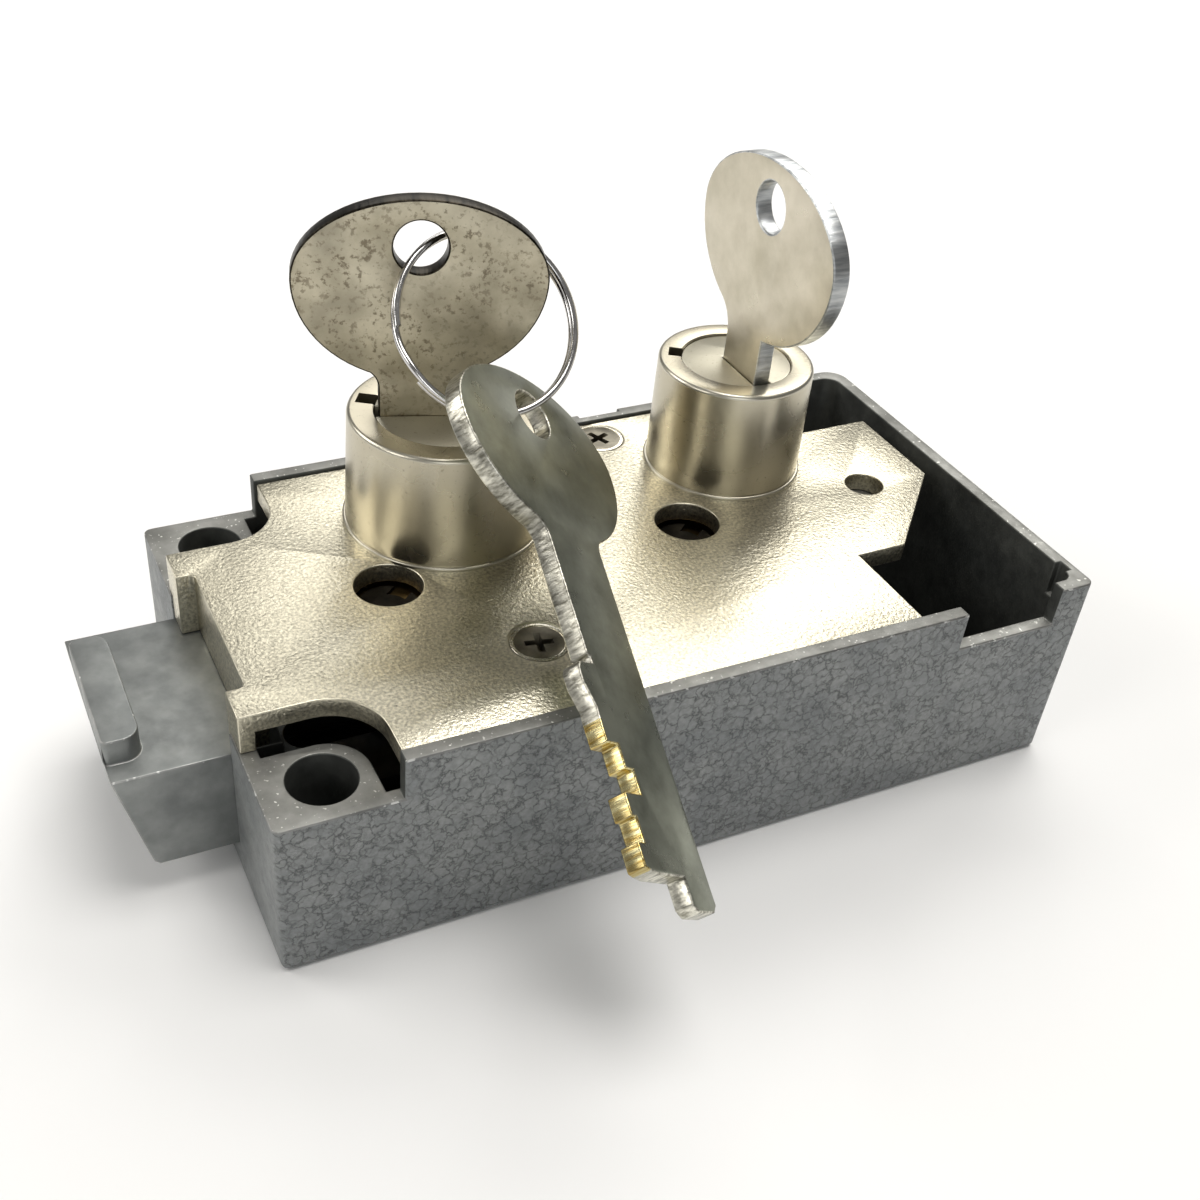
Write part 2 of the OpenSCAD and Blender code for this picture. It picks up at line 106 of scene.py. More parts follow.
# %% [markdown]
# ## Floor
# A plain pale sheet lies under the lock. It's part of the stage, so it rides on nothing.
# %% Floor
def select_none():
    """Leaves edit mode and deselects all, so that the next operator acts on one object only."""
    if bpy.context.object and bpy.context.object.mode != "OBJECT":
        bpy.ops.object.mode_set(mode="OBJECT")
    bpy.ops.object.select_all(action="DESELECT")


select_none()
bpy.ops.mesh.primitive_plane_add(size=6.0, location=(0, 0, -0.02 * MM))
floor = bpy.context.object
floor.name = "floor"
bpy.ops.object.transform_apply(location=True)
print("Floor", tuple(round(d, 1) for d in floor.dimensions), "m")

# %% [markdown]
# ## Building finishes out of nodes
# Every finish starts as a Principled shader. Small helpers keep the recipes readable: they add a
# node and fill its sockets, read a noise, turn a number into colours, blend two colours, make a
# bump, and link the result. All patterns read Object coordinates, which are metres here, so a
# scale of 1000 means a detail every millimetre.
# %% Node helpers
def new_finish(name, colour, metal, rough):
    """A material with one Principled shader, and the values that are the same all over it."""
    finish = bpy.data.materials.new(name)
    finish.use_nodes = True
    shader = finish.node_tree.nodes["Principled BSDF"]
    shader.inputs["Base Color"].default_value = (*colour, 1)
    shader.inputs["Metallic"].default_value = metal
    shader.inputs["Roughness"].default_value = rough
    return finish


def add_node(finish, kind, sockets, **settings):
    """Adds a node; a socket's value is either a number or another node's output."""
    made = finish.node_tree.nodes.new(kind)
    for key, value in settings.items():
        setattr(made, key, value)
    for key, value in sockets.items():
        if isinstance(value, bpy.types.NodeSocket):
            finish.node_tree.links.new(value, made.inputs[key])
        else:
            made.inputs[key].default_value = value
    return made


def place_on(finish):
    """Object coordinates: the pattern stays fixed on the piece when the piece moves."""
    return add_node(finish, "ShaderNodeTexCoord", {}).outputs["Object"]


def noise(finish, scale, detail=3.0, rough=0.55, vector=None):
    sockets = {"Scale": scale, "Detail": detail, "Roughness": rough}
    sockets["Vector"] = vector or place_on(finish)
    return add_node(finish, "ShaderNodeTexNoise", sockets).outputs["Fac"]


def ramp(finish, factor, *stops):
    """Colours or greys along a factor: each stop is (place, value)."""
    made = add_node(finish, "ShaderNodeValToRGB", {"Fac": factor})
    band = made.color_ramp
    while len(band.elements) < len(stops):
        band.elements.new(0.5)
    for element, (where, value) in zip(band.elements, stops):
        element.position = where
        element.color = (*value, 1) if isinstance(value, tuple) else (value, value, value, 1)
    return made.outputs["Color"]


def blend(finish, factor, first, second, mode="MIX"):
    made = add_node(finish, "ShaderNodeMix", {0: factor}, data_type="RGBA", blend_type=mode)
    for index, value in ((6, first), (7, second)):
        if isinstance(value, bpy.types.NodeSocket):
            finish.node_tree.links.new(value, made.inputs[index])
        else:
            made.inputs[index].default_value = (*value, 1)
    return made.outputs[2]


def relief(finish, height, depth, strength=1.0):
    """Bump from a height pattern that is depth metres deep."""
    sockets = {"Height": height, "Distance": depth, "Strength": strength}
    return add_node(finish, "ShaderNodeBump", sockets).outputs["Normal"]


def wire(finish, **sockets):
    """Links patterns to the shader's own sockets."""
    names = {"colour": "Base Color", "rough": "Roughness", "normal": "Normal"}
    shader = finish.node_tree.nodes["Principled BSDF"]
    for key, output in sockets.items():
        finish.node_tree.links.new(output, shader.inputs[names[key]])
    return finish


floor_finish = new_finish("floor_paper", (0.86, 0.86, 0.855), 0.0, 0.7)
paper_grain = noise(floor_finish, 900.0)
wire(floor_finish, normal=relief(floor_finish, paper_grain, 0.00003, 0.3))
floor.data.materials.append(floor_finish)
print("Node helpers ready")

# %% [markdown]
# ## Hammertone paint
# Hammertone is a grey enamel with a little silicone in it. It flows into pale cells, one or two
# millimetres wide, with a thin dark vein between them. A Voronoi texture's distance to the
# nearest edge gives the veins, and a second, finer one adds small cells in patches. A noise bends
# their coordinates so that no vein is straight, and another one breaks the veins up. The bolt
# end of the case was sprayed thinner: where the surface looks along -X, the veins fade.
# %% Hammertone paint
def hammertone():
    paint = new_finish("case_hammertone", (0.18, 0.19, 0.195), 0.3, 0.42)
    here = place_on(paint)
    wander = add_node(paint, "ShaderNodeTexNoise", {"Vector": here, "Scale": 950.0, "Detail": 3.0})
    bend = add_node(paint, "ShaderNodeVectorMath", {0: wander.outputs["Color"], "Scale": 0.0022},
                    operation="SCALE")
    bent = add_node(paint, "ShaderNodeVectorMath", {0: here, 1: bend.outputs[0]}, operation="ADD")
    cells = add_node(paint, "ShaderNodeTexVoronoi", {"Vector": bent.outputs[0], "Scale": 640.0},
                     feature="DISTANCE_TO_EDGE")
    small = add_node(paint, "ShaderNodeTexVoronoi", {"Vector": bent.outputs[0], "Scale": 1200.0},
                     feature="DISTANCE_TO_EDGE")
    wide_vein = ramp(paint, cells.outputs["Distance"], (0.0, 0.1), (0.04, 0.55), (0.13, 1.0))
    thin_vein = ramp(paint, small.outputs["Distance"], (0.0, 0.45), (0.09, 1.0))
    patchy = ramp(paint, noise(paint, 330.0), (0.42, 0.0), (0.58, 1.0))
    both = blend(paint, 0.8, wide_vein, thin_vein, "MULTIPLY")
    veins = blend(paint, patchy, wide_vein, both)
    broken = ramp(paint, noise(paint, 520.0, 2.0), (0.48, 0.0), (0.64, 0.62))
    veins = blend(paint, broken, veins, (1.0, 1.0, 1.0))
    facing = add_node(paint, "ShaderNodeNewGeometry", {}).outputs["Normal"]
    along = add_node(paint, "ShaderNodeSeparateXYZ", {"Vector": facing}).outputs["X"]
    away = add_node(paint, "ShaderNodeMath", {0: along, 1: -1.0}, operation="MULTIPLY").outputs[0]
    thin_coat = ramp(paint, away, (0.75, 0.0), (0.95, 0.8))
    veins = blend(paint, thin_coat, veins, (1.0, 1.0, 1.0))
    tint = ramp(paint, noise(paint, 150.0, 5.0), (0.35, (0.190, 0.202, 0.204)),
                (0.65, (0.255, 0.266, 0.262)))
    mottle = ramp(paint, noise(paint, 1700.0, 2.0), (0.3, 0.84), (0.7, 1.12))
    tint = blend(paint, 1.0, tint, mottle, "MULTIPLY")
    colour = blend(paint, veins, (0.050, 0.053, 0.055), tint)
    pillow = ramp(paint, cells.outputs["Distance"], (0.0, 0.0), (0.2, 0.8), (0.5, 1.0))
    rough = ramp(paint, noise(paint, 420.0), (0.3, 0.38), (0.7, 0.55))
    return wire(paint, colour=colour, rough=rough, normal=relief(paint, pillow, 0.00005, 0.5))


case_paint = hammertone()
print("Finish:", case_paint.name)

# %% [markdown]
# ## Bare and worn metal on the case
# The rim and the two lowered lugs were ground flat after painting, so they show dark cast metal
# with pale specks. Handling wears the upper outer edges. Inside, a near-black finish is painted
# shade, for the shade that falls within the walls under the cover.
# %% Case metals
def cast_grey(name, dark, pale, rough, grain=1400.0, speck=0.66):
    """Bare die-cast metal: two greys in soft clouds, with small pale specks."""
    cast = new_finish(name, dark, 0.75, rough)
    clouds = ramp(cast, noise(cast, 190.0, 5.0), (0.35, dark), (0.68, pale))
    specks = ramp(cast, noise(cast, grain, 1.5), (speck, 0.0), (speck + 0.07, 1.0))
    bright = tuple(min(1.0, c * 2.1) for c in pale)
    colour = blend(cast, specks, clouds, bright)
    rough_pattern = ramp(cast, noise(cast, 700.0), (0.3, rough - 0.08), (0.7, rough + 0.12))
    return wire(cast, colour=colour, rough=rough_pattern,
                normal=relief(cast, noise(cast, grain, 3.0), 0.00004, 0.5))


case_rim = cast_grey("case_ground_rim", (0.19, 0.19, 0.176), (0.32, 0.32, 0.30), 0.52,
                     1800.0)
case_edge = cast_grey("case_worn_edge", (0.15, 0.15, 0.145), (0.30, 0.30, 0.29), 0.38, 1100.0, 0.62)
# The inside finish is near black: painted shade, standing in for the shade within the walls.
case_inside_painted_shade = cast_grey("case_inside_painted_shade", (0.070, 0.074, 0.070), (0.125, 0.130, 0.120), 0.55, 1400.0,
                        0.80)
bolt_zinc = cast_grey("bolt_zinc", (0.18, 0.19, 0.187), (0.28, 0.292, 0.284), 0.45, 900.0, 0.80)
bolt_edge = cast_grey("bolt_edge", (0.20, 0.21, 0.205), (0.36, 0.36, 0.35), 0.36, 900.0)
print("Finishes:", [m.name for m in (case_rim, case_edge, case_inside_painted_shade, bolt_zinc, bolt_edge)])

# %% [markdown]
# ## Nickel plate
# The cover is cast, and its nickel plate follows the casting's grain: a fine orange peel that
# glitters. The noses were turned before plating, so they're smooth. One recipe makes both: the
# size and depth of the grain change, broad clouds move the colour between warm and pale, and on
# the cover single grains are darkened and lightened in the colour: the darker ones are grain, the
# lighter ones painted glints.
# %% Nickel
def nickel(name, dark, pale, rough, grain, depth, strength, grain_and_glint=0.0):
    plate = new_finish(name, pale, 1.0, rough)
    clouds = ramp(plate, noise(plate, 60.0, 5.0), (0.3, dark), (0.7, pale))
    pits = ramp(plate, noise(plate, grain * 0.9, 2.0), (0.22, 0.55), (0.36, 1.0))
    colour = blend(plate, 0.8, clouds, pits, "MULTIPLY")
    if grain_and_glint:
        # Grains lightened above the base colour are painted glints; the darkened ones are grain.
        grain_and_painted_glints = ramp(plate, noise(plate, grain * 1.15, 1.5), (0.32, 0.62), (0.5, 0.95),
                      (0.66, 1.25))
        colour = blend(plate, grain_and_glint, colour, grain_and_painted_glints, "MULTIPLY")
    broad = ramp(plate, noise(plate, 90.0, 4.0), (0.3, rough - 0.02), (0.7, rough + 0.03))
    bumps = noise(plate, grain, 2.5, 0.6)
    return wire(plate, colour=colour, rough=broad, normal=relief(plate, bumps, depth, strength))


cover_nickel = nickel("cover_nickel", (0.60, 0.56, 0.44), (0.70, 0.66, 0.53), 0.32, 2300.0,
                      0.00011, 0.75, grain_and_glint=0.8)
cover_edge = nickel("cover_edge", (0.50, 0.47, 0.36), (0.68, 0.64, 0.52), 0.32, 1500.0,
                    0.00008, 0.4)
nose_nickel = nickel("nose_nickel", (0.46, 0.42, 0.325), (0.58, 0.54, 0.43), 0.27, 2600.0,
                     0.00004, 0.16)
nose_edge = nickel("nose_edge", (0.50, 0.47, 0.38), (0.60, 0.57, 0.48), 0.30, 2600.0,
                   0.00003, 0.15)
plug_nickel = nickel("plug_nickel", (0.36, 0.34, 0.27), (0.47, 0.44, 0.36), 0.42, 3000.0,
                     0.00006, 0.35)
print("Finishes:", [m.name for m in (cover_nickel, cover_edge, nose_nickel, nose_edge,
                                     plug_nickel)])

# %% [markdown]
# ## Key metals
# Keys are stamped from plated sheet. The faces are rolled smooth, and carry the marks of pockets:
# brown specks and stains on the old renter's key, almost none on the guard's. The thickness is
# rougher than the faces, because the punch tears the metal: fine ribs run across it. The spare's
# cuts are fresh, so the brass under the plate shows there. On the renter's key the thickness is
# near black, painted shade, and a pale line along the edges of one face is a painted highlight.
# %% Key metals
def key_face(name, dark, pale, rough, stain_from, speck_from):
    face = new_finish(name, pale, 1.0, rough)
    clouds = ramp(face, noise(face, 130.0, 6.0, 0.65), (0.34, dark), (0.64, pale))
    stain = ramp(face, noise(face, 75.0, 3.0), (stain_from, 0.0), (stain_from + 0.2, 0.8))
    colour = blend(face, stain, clouds, tuple(c * 0.5 for c in dark))
    gather = ramp(face, noise(face, 140.0, 2.0), (0.40, 0.35), (0.58, 1.0))
    specks = ramp(face, noise(face, 1450.0, 4.0, 0.65), (speck_from, 0.0),
                  (speck_from + 0.09, 0.75))
    specks = blend(face, 1.0, specks, gather, "MULTIPLY")
    colour = blend(face, specks, colour, (0.14, 0.11, 0.070))
    broad = ramp(face, noise(face, 240.0, 5.0), (0.3, rough - 0.06), (0.7, rough + 0.12))
    drawn = add_node(face, "ShaderNodeMapping", {"Vector": place_on(face), "Scale": (1, 1, 0.06)})
    lines = noise(face, 2600.0, 2.0, 0.5, drawn.outputs["Vector"])
    return wire(face, colour=colour, rough=broad, normal=relief(face, lines, 0.00002, 0.25))


def key_edge(name, dark, pale, rough, turn, stretch=9.0, fine=1900.0):
    """The torn and ribbed thickness of a key: turn is how the key stands, in degrees."""
    edge = new_finish(name, pale, 1.0, rough)
    across = add_node(edge, "ShaderNodeMapping",
                      {"Vector": place_on(edge), "Rotation": [math.radians(a) for a in turn],
                       "Scale": (1, 1, stretch)}, vector_type="TEXTURE")
    ribs = noise(edge, fine, 3.0, 0.6, across.outputs["Vector"])
    broad = noise(edge, 230.0, 3.0, 0.6, across.outputs["Vector"])
    colour = blend(edge, 0.7, ramp(edge, ribs, (0.34, dark), (0.6, pale)),
                   ramp(edge, broad, (0.42, 0.35), (0.6, 1.0)), "MULTIPLY")
    return wire(edge, colour=colour, normal=relief(edge, ribs, 0.0001, 0.55))


RENTER_TURN = -17.5
GUARD_TURN = -90
RENTER_STANDS = (90, 0, RENTER_TURN)
GUARD_STANDS = (90, 0, GUARD_TURN)
SPARE_HANGS = (33.1, 37, 16.1)

worn_face = key_face("key_worn_face", (0.42, 0.38, 0.28), (0.62, 0.57, 0.44), 0.36, 0.52, 0.53)
clean_face = key_face("key_clean_face", (0.52, 0.48, 0.375), (0.66, 0.61, 0.50), 0.32, 0.70, 0.72)
green_face = key_face("key_green_face", (0.215, 0.225, 0.18), (0.37, 0.385, 0.315), 0.30, 0.64,
                      0.72)
# The renter's near-black thickness is painted shade, and its pale edge line a painted highlight.
painted_shade_edge = key_edge("key_painted_shade_edge", (0.016, 0.014, 0.010), (0.055, 0.047, 0.035), 0.36,
                     RENTER_STANDS)
painted_highlight_line = key_edge("key_painted_highlight_line", (0.50, 0.46, 0.38), (0.80, 0.76, 0.66), 0.28, RENTER_STANDS)
ribbed_edge = key_edge("key_ribbed_edge", (0.56, 0.59, 0.61), (0.92, 0.94, 0.94), 0.36,
                       GUARD_STANDS)
rough_edge = key_edge("key_rough_edge", (0.26, 0.25, 0.20), (0.80, 0.78, 0.68), 0.30, SPARE_HANGS,
                      3.0, 2400.0)
# Fresh brass with ribs; its palest ribs, brighter than brass, are painted glints.
brass_cut_painted_glints = key_edge("key_brass_cut_painted_glints", (0.58, 0.38, 0.08), (1.0, 0.90, 0.50), 0.26, SPARE_HANGS)
print("Finishes:", [m.name for m in (worn_face, clean_face, green_face, painted_shade_edge, brass_cut_painted_glints)])

# %% [markdown]
# ## Wire, screws and the works inside
# The ring is hard bright wire. The screws are darker nickel. Inside the case are stamped brass
# levers, blued springs and posts: little of them is seen, but each has its finish, because the
# posts and the levers show through the two windows in the cover. The levers' dark brown brass and
# the near-black posts, clips and fences are painted shade, for the shade inside the case.
# %% Small metals
def drawn_steel(name, dark, pale, rough, grain=1800.0, depth=0.00002):
    steel = new_finish(name, pale, 1.0, rough)
    shade = ramp(steel, noise(steel, 420.0, 5.0), (0.32, dark), (0.66, pale))
    return wire(steel, colour=shade, rough=ramp(steel, noise(steel, grain), (0.3, rough * 0.8),
                                                (0.7, rough * 1.3)),
                normal=relief(steel, noise(steel, grain, 3.0), depth, 0.3))


ring_steel = drawn_steel("ring_steel", (0.44, 0.43, 0.42), (0.72, 0.71, 0.70), 0.16)
screw_steel = drawn_steel("screw_steel", (0.13, 0.12, 0.095), (0.26, 0.24, 0.19), 0.36)
# The pale rim finish is a painted highlight round the screw head.
screw_rim_painted_highlight = drawn_steel("screw_rim_painted_highlight", (0.56, 0.53, 0.44), (0.84, 0.81, 0.70), 0.24)
# Near-black steel for posts, clips and fences, and very dark brass for the levers: painted shade.
painted_shade_steel = drawn_steel("painted_shade_steel", (0.012, 0.011, 0.010), (0.035, 0.030, 0.024), 0.45)
spring_steel = drawn_steel("spring_steel", (0.05, 0.06, 0.10), (0.14, 0.17, 0.25), 0.28)
lever_brass = drawn_steel("lever_brass", (0.07, 0.045, 0.018), (0.20, 0.14, 0.06), 0.40, 1200.0)
print("Finishes:", [m.name for m in (ring_steel, screw_steel, painted_shade_steel, lever_brass)])

# %% [markdown]
# ## Helpers for shaping
# Each step acts on what is selected, so these helpers take up one piece, go into edit mode, and
# pick faces or edges by where they are or which way they look.
# %% Shaping helpers
def take_up(piece):
    """Makes a piece the only selected and active object."""
    select_none()
    piece.select_set(True)
    bpy.context.view_layer.objects.active = piece


def pick(piece, faces=None, edges=None):
    """Selects, in edit mode, the faces or the edges that pass a test."""
    if piece.mode != "EDIT":
        take_up(piece)
        bpy.ops.object.mode_set(mode="EDIT")
    bpy.ops.mesh.select_mode(type="EDGE" if edges else "FACE")
    bpy.ops.mesh.select_all(action="DESELECT")
    shape = bmesh.from_edit_mesh(piece.data)
    for item in shape.edges if edges else shape.faces:
        if (edges or faces)(item):
            item.select_set(True)
    bmesh.update_edit_mesh(piece.data)


def finish_off(piece, smooth=32):
    """Leaves edit mode, sets the place in the mesh and smooths all but the sharp edges."""
    take_up(piece)
    bpy.ops.object.transform_apply(location=True, rotation=True, scale=True)
    bpy.ops.object.shade_smooth_by_angle(angle=math.radians(smooth))
    return piece


def apply_all(piece):
    """Applies every modifier in order."""
    take_up(piece)
    for modifier in list(piece.modifiers):
        bpy.ops.object.modifier_apply(modifier=modifier.name)


def cut_away(piece, cutter):
    """Takes the cutter's volume out of the piece, and removes the cutter."""
    saw = piece.modifiers.new("cut", "BOOLEAN")
    saw.operation = "DIFFERENCE"
    saw.solver = "EXACT"
    saw.object = cutter
    apply_all(piece)
    bpy.data.objects.remove(cutter, do_unlink=True)


def broken_edges(name, cad_name, width, skins, segments=3):
    """A copy of a CAD part with its loose triangles merged and its sharp edges rounded. Where
    two slopes meet in a sharp tip, a bevel can reach past it, so the box is kept at the end.
    skins are its finishes: the first covers the faces, and the second the rounded edges."""
    piece = bpy.data.objects.new(name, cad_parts[cad_name].data.copy())
    bpy.context.scene.collection.objects.link(piece)
    piece.data.materials.clear()
    for skin in skins:
        piece.data.materials.append(skin)
    pick(piece, faces=lambda face: True)
    bpy.ops.mesh.remove_doubles(threshold=0.0005 * MM)
    bpy.ops.mesh.dissolve_limited(angle_limit=math.radians(0.5))
    bpy.ops.mesh.normals_make_consistent(inside=False)
    bpy.ops.object.mode_set(mode="OBJECT")
    for face in piece.data.polygons:
        face.material_index = 0
    rounding = piece.modifiers.new("rounding", "BEVEL")
    rounding.width = width * MM
    rounding.segments = segments
    rounding.limit_method = "ANGLE"
    rounding.angle_limit = math.radians(40)
    rounding.use_clamp_overlap = False
    rounding.material = 1 if len(skins) > 1 else 0
    apply_all(piece)
    low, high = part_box(cad_name)
    for corner in piece.data.vertices:
        corner.co = [min(max(corner.co[i], low[i]), high[i]) for i in range(3)]
    finish_off(piece)
    print(name, "from", cad_name, "-", len(piece.data.polygons), "faces")
    return piece


def hand_over(piece, body, cad_name):
    """The piece rides on its body and hides the CAD part."""
    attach(piece, body)
    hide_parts(cad_name)


print("Shaping helpers ready")

# %% [markdown]
# ## The case
# The case is one casting: a tray with a low end, where two lugs hold the mounting holes. Its
# shape is right in the CAD part, so a merged copy gets rounded edges, which carry the worn
# finish by themselves, because the Bevel modifier can give its new faces a material. Then the
# faces are sorted: what looks up and lies high is ground, and what lies inside the walls takes a
# near-black finish, painted shade for the shade in the tray.
# %% Case
LUG_TOP = 21.7 * MM
case_low, case_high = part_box("case")


def case_skin(face):
    """0 paint, 1 worn edge, 2 ground rim, 3 painted shade inside, for one face of the case."""
    outside = (face.center.x < case_low.x + 0.4 * MM or face.center.x > case_high.x - 0.4 * MM
               or face.center.y < case_low.y + 0.4 * MM or face.center.y > case_high.y - 0.4 * MM
               or face.center.z < 1.0 * MM)
    high = face.center.z > LUG_TOP - 0.3 * MM
    if high and face.normal.z > 0.9:
        return 2
    if not outside:
        return 3
    return 1 if face.material_index == 1 and high and face.normal.z > 0.2 else 0


case = broken_edges("lock_case", "case", 0.22, [case_paint, case_edge, case_rim, case_inside_painted_shade])
for face in case.data.polygons:
    face.material_index = case_skin(face)
hand_over(case, "case", "case")

# %% [markdown]
# ## The cover
# The cover is a cast plate with a tab at one end and a lip at the other. Its edges are barely
# broken, and smoother than the grained top.
# %% Cover
cover = broken_edges("lock_cover", "cover", 0.16, [cover_nickel, cover_edge])
hand_over(cover, "case", "cover")

# %% [markdown]
# ## The noses
# A nose is turned on a lathe. Here it grows out of one cylinder, the bead at its foot: the bead's
# top is inset and drawn up to make the barrel, narrowed a little, inset again to the bore and
# pushed down through the foot. The rim and the bead are then rounded, and a block cuts the
# passage for the key's bit.
# %% Noses
NOSE_TOP = 41.7
COVER_TOP = 26.8
BARREL_H = NOSE_TOP - COVER_TOP
BEAD = 0.33
BEAD_H = 0.5
BIT_ANGLE = 148
BIT_WIDE = 2.3


def ring_edges(height, radius):
    """A test for the circle of edges at this height and radius, in millimetres."""
    def on_it(edge):
        return all(abs(v.co.z - height * MM) < 0.02 * MM
                   and abs(v.co.xy.length - radius * MM) < 0.05 * MM for v in edge.verts)
    return on_it


def inset_by(thickness):
    bpy.ops.mesh.inset(thickness=thickness * MM, depth=0)


def draw_out(height):
    bpy.ops.mesh.extrude_region_move(TRANSFORM_OT_translate={"value": (0, 0, height * MM)})


def round_off(width, steps):
    bpy.ops.mesh.bevel(offset=width * MM, segments=steps, affect="EDGES")


def turned_nose(name, middle, foot_r, rim_r, bore_r, bit_reach):
    select_none()
    bpy.ops.mesh.primitive_cylinder_add(vertices=160, radius=(foot_r + BEAD) * MM,
                                        depth=BEAD_H * MM, location=(0, 0, BEAD_H / 2 * MM))
    nose = bpy.context.object
    nose.name = name
    bpy.ops.object.transform_apply(location=True)
    pick(nose, faces=lambda face: face.normal.z < -0.9)
    inset_by(foot_r + BEAD - bore_r)
    bpy.ops.mesh.delete(type="FACE")
    pick(nose, faces=lambda face: face.normal.z > 0.9)
    inset_by(BEAD)
    draw_out(BARREL_H - BEAD_H)
    bpy.ops.transform.resize(value=(rim_r / foot_r, rim_r / foot_r, 1))
    inset_by(rim_r - bore_r)
    draw_out(-BARREL_H)
    bpy.ops.mesh.delete(type="FACE")
    pick(nose, faces=lambda face: True)
    bpy.ops.mesh.remove_doubles(threshold=0.02 * MM)
    bpy.ops.mesh.normals_make_consistent(inside=False)
    for height, radius, width, steps in ((BARREL_H, rim_r, 0.55, 6), (BARREL_H, bore_r, 0.2, 3),
                                         (BEAD_H, foot_r + BEAD, 0.22, 4)):
        pick(nose, edges=ring_edges(height, radius))
        round_off(width, steps)
    bpy.ops.object.mode_set(mode="OBJECT")
    bpy.ops.mesh.primitive_cube_add(size=1)
    block = bpy.context.object
    block.scale = (bit_reach * MM, BIT_WIDE * MM, BARREL_H * 3 * MM)
    block.rotation_euler.z = math.radians(BIT_ANGLE)
    block.location = Vector((math.cos(math.radians(BIT_ANGLE)), math.sin(math.radians(BIT_ANGLE)),
                             0))
    block.location *= bit_reach / 2 * MM
    cut_away(nose, block)
    nose.location = (middle[0] * MM, middle[1] * MM, COVER_TOP * MM)
    nose.data.materials.clear()
    for skin in (nose_nickel, nose_edge):
        nose.data.materials.append(skin)
    for face in nose.data.polygons:
        radius = face.center.xy.length / MM
        on_bead = face.center.z < BEAD_H * MM + 0.001 * MM
        on_rim = face.center.z > (BARREL_H - 0.5) * MM and radius > rim_r - 0.6
        face.material_index = 1 if on_bead or (on_rim and face.normal.z < 0.97) else 0
    finish_off(nose)
    print(name, "stands", BARREL_H, "mm out of the cover,", len(nose.data.polygons), "faces")
    return nose


RENTER_AXIS = (-17.4, 12.4)
GUARD_AXIS = (22.6, 12.4)
renter_nose = turned_nose("renter_barrel", RENTER_AXIS, 12.35, 11.9, 8.65, 10.9)
hand_over(renter_nose, "case", "renter_nose")
guard_nose = turned_nose("guard_barrel", GUARD_AXIS, 10.15, 10.0, 7.05, 8.75)
hand_over(guard_nose, "case", "guard_nose")

# %% [markdown]
# ## The plugs
# Each plug turns inside its nose with the key. Only its flat end and the keyway show, so a copy
# of the CAD part with finely broken edges is enough: the edge catches a thin ring of light.
# %% Plugs
for plug_name, cad_name in (("renter_core", "renter_plug"), ("guard_core", "guard_plug")):
    plug = broken_edges(plug_name, cad_name, 0.14, [plug_nickel, nose_edge], 2)
    hand_over(plug, cad_name, cad_name)

# %% [markdown]
# ## The bolt
# The bolt is a heavy casting with a raised rib across its tip. Its corners are rounder than the
# case's, from sliding in and out of the strike.
# %% Bolt
bolt = broken_edges("square_bolt", "bolt", 0.18, [bolt_zinc, bolt_edge])
hand_over(bolt, "bolt", "bolt")

# %% [markdown]
# ## The keys
# All three keys are flat stampings 2.2 mm thick, so a key has a plane of its own: the two rolled
# faces look along its normal, and everything else is its thickness. That is how the faces are
# told from the edges here. The spare's cuts lie between two heights below the hole in its bow.
# %% Keys
KEY_CUTS = (-54.3, -38.3)
CUT_SIDE = -2.0
FACE_LEAN = 0.97
LINE_LEAN = 0.2


def key_frame(turn, hole):
    """The way from a key's own drawing, flat and with its hole at the origin, to its place."""
    return Matrix.Translation(Vector(hole) * MM) @ turn.to_matrix().to_4x4()


def upright(axis, degrees, reach, hole_z):
    """A key that stands in a plug: turned about the plug's axis, its hole reach mm along."""
    angle = math.radians(degrees)
    hole = (axis[0] + reach * math.cos(angle), axis[1] + reach * math.sin(angle), hole_z)
    return key_frame(Euler((math.radians(90), 0, angle)), hole)


def flat_key(name, cad_name, way, skins, painted_highlight_side=0, fresh_cuts=False):
    """skins: the rolled faces, the lines along their edges, the thickness, and the fresh cuts. On
    the renter's key the lines are a painted highlight and the thickness is painted shade. The side
    argument keeps the lines to one side of the key: 1 or -1, or 0 for both."""
    key = broken_edges(name, cad_name, 0.2, skins, 3)
    back = way.inverted()
    turned_back = back.to_3x3()
    for face in key.data.polygons:
        side = (turned_back @ face.normal).z
        lean = abs(side)
        on_line = lean > LINE_LEAN and side * painted_highlight_side >= 0
        face.material_index = 0 if lean > FACE_LEAN else 1 if on_line else 2
        where = back @ face.center / MM
        in_cuts = KEY_CUTS[0] < where.y < KEY_CUTS[1] and where.x < CUT_SIDE
        if fresh_cuts and in_cuts and lean < FACE_LEAN:
            face.material_index = 3
    return key


# Painted shade on the thickness, and a painted highlight line on one side only.
renter_key = flat_key("renter_flat_key", "renter_key",
                      upright(RENTER_AXIS, RENTER_TURN, -3.27, 62.12),
                      [worn_face, painted_highlight_line, painted_shade_edge], painted_highlight_side=-1)
hand_over(renter_key, "renter_plug", "renter_key")
guard_key = flat_key("guard_flat_key", "guard_key", upright(GUARD_AXIS, GUARD_TURN, 3.55, 63.2),
                     [clean_face, ribbed_edge, ribbed_edge])
hand_over(guard_key, "guard_plug", "guard_key")
spare_turn = Euler([math.radians(a) for a in SPARE_HANGS])
spare_key = flat_key("spare_flat_key", "spare_key",
                     key_frame(spare_turn, (-12.96, -0.06, 46.18)),
                     [green_face, rough_edge, rough_edge, brass_cut_painted_glints], fresh_cuts=True)
hand_over(spare_key, "spare_key", "spare_key")

